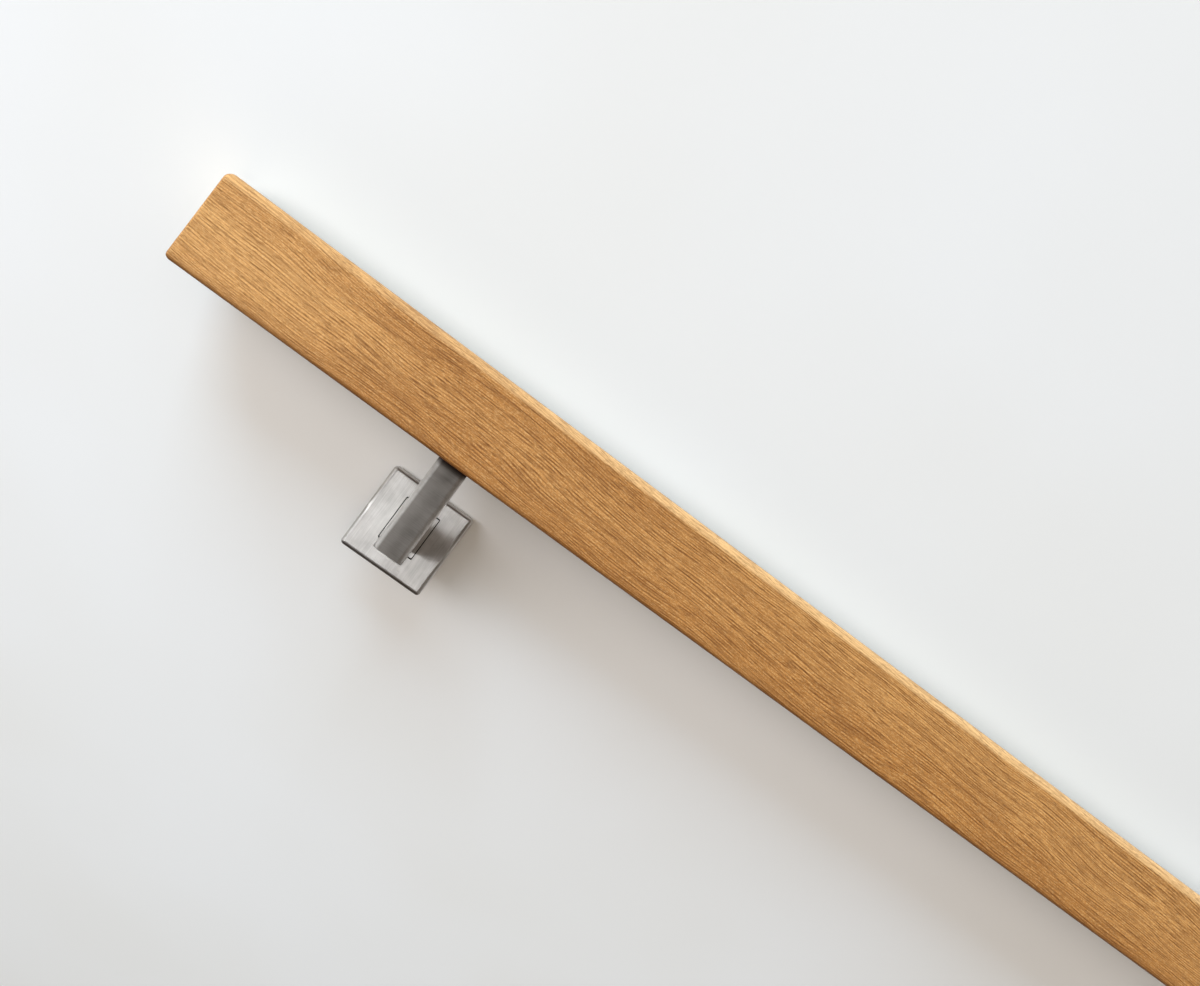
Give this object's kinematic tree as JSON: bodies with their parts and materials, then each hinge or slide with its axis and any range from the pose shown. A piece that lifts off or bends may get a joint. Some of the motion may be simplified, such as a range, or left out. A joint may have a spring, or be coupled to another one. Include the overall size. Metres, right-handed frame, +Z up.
{
  "type": "stair handrail on wall brackets",
  "caption": "Straight oak stair handrail of oblong section with eased edges, on square mitred steel arms with square clip-on roses, lying on its back as it rests unheld.",
  "frame": {"origin": "middle of the part's footprint, on the floor it rests on", "axes": "+X along the rail towards its upper end, -Y the side that the rail's front faces, +Z up from the floor; the wall's plane leans 34.49 degrees from level"},
  "size_m": [1.2, 0.1726, 0.0936],
  "materials": {
    "oak": "oiled, straight fine grain",
    "satin_steel": "satin, finely brushed",
    "zinc_steel": "bright zinc plate"
  },
  "bodies": {
    "root": {"handrail": "oak", "upper_wall_plate": "satin_steel", "upper_rose": "satin_steel", "upper_arm": "satin_steel", "upper_saddle": "satin_steel", "upper_rail_screw_1": "zinc_steel", "upper_rail_screw_2": "zinc_steel", "lower_wall_plate": "satin_steel", "lower_rose": "satin_steel", "lower_arm": "satin_steel", "lower_saddle": "satin_steel", "lower_rail_screw_1": "zinc_steel", "lower_rail_screw_2": "zinc_steel"}
  },
  "joints": []
}
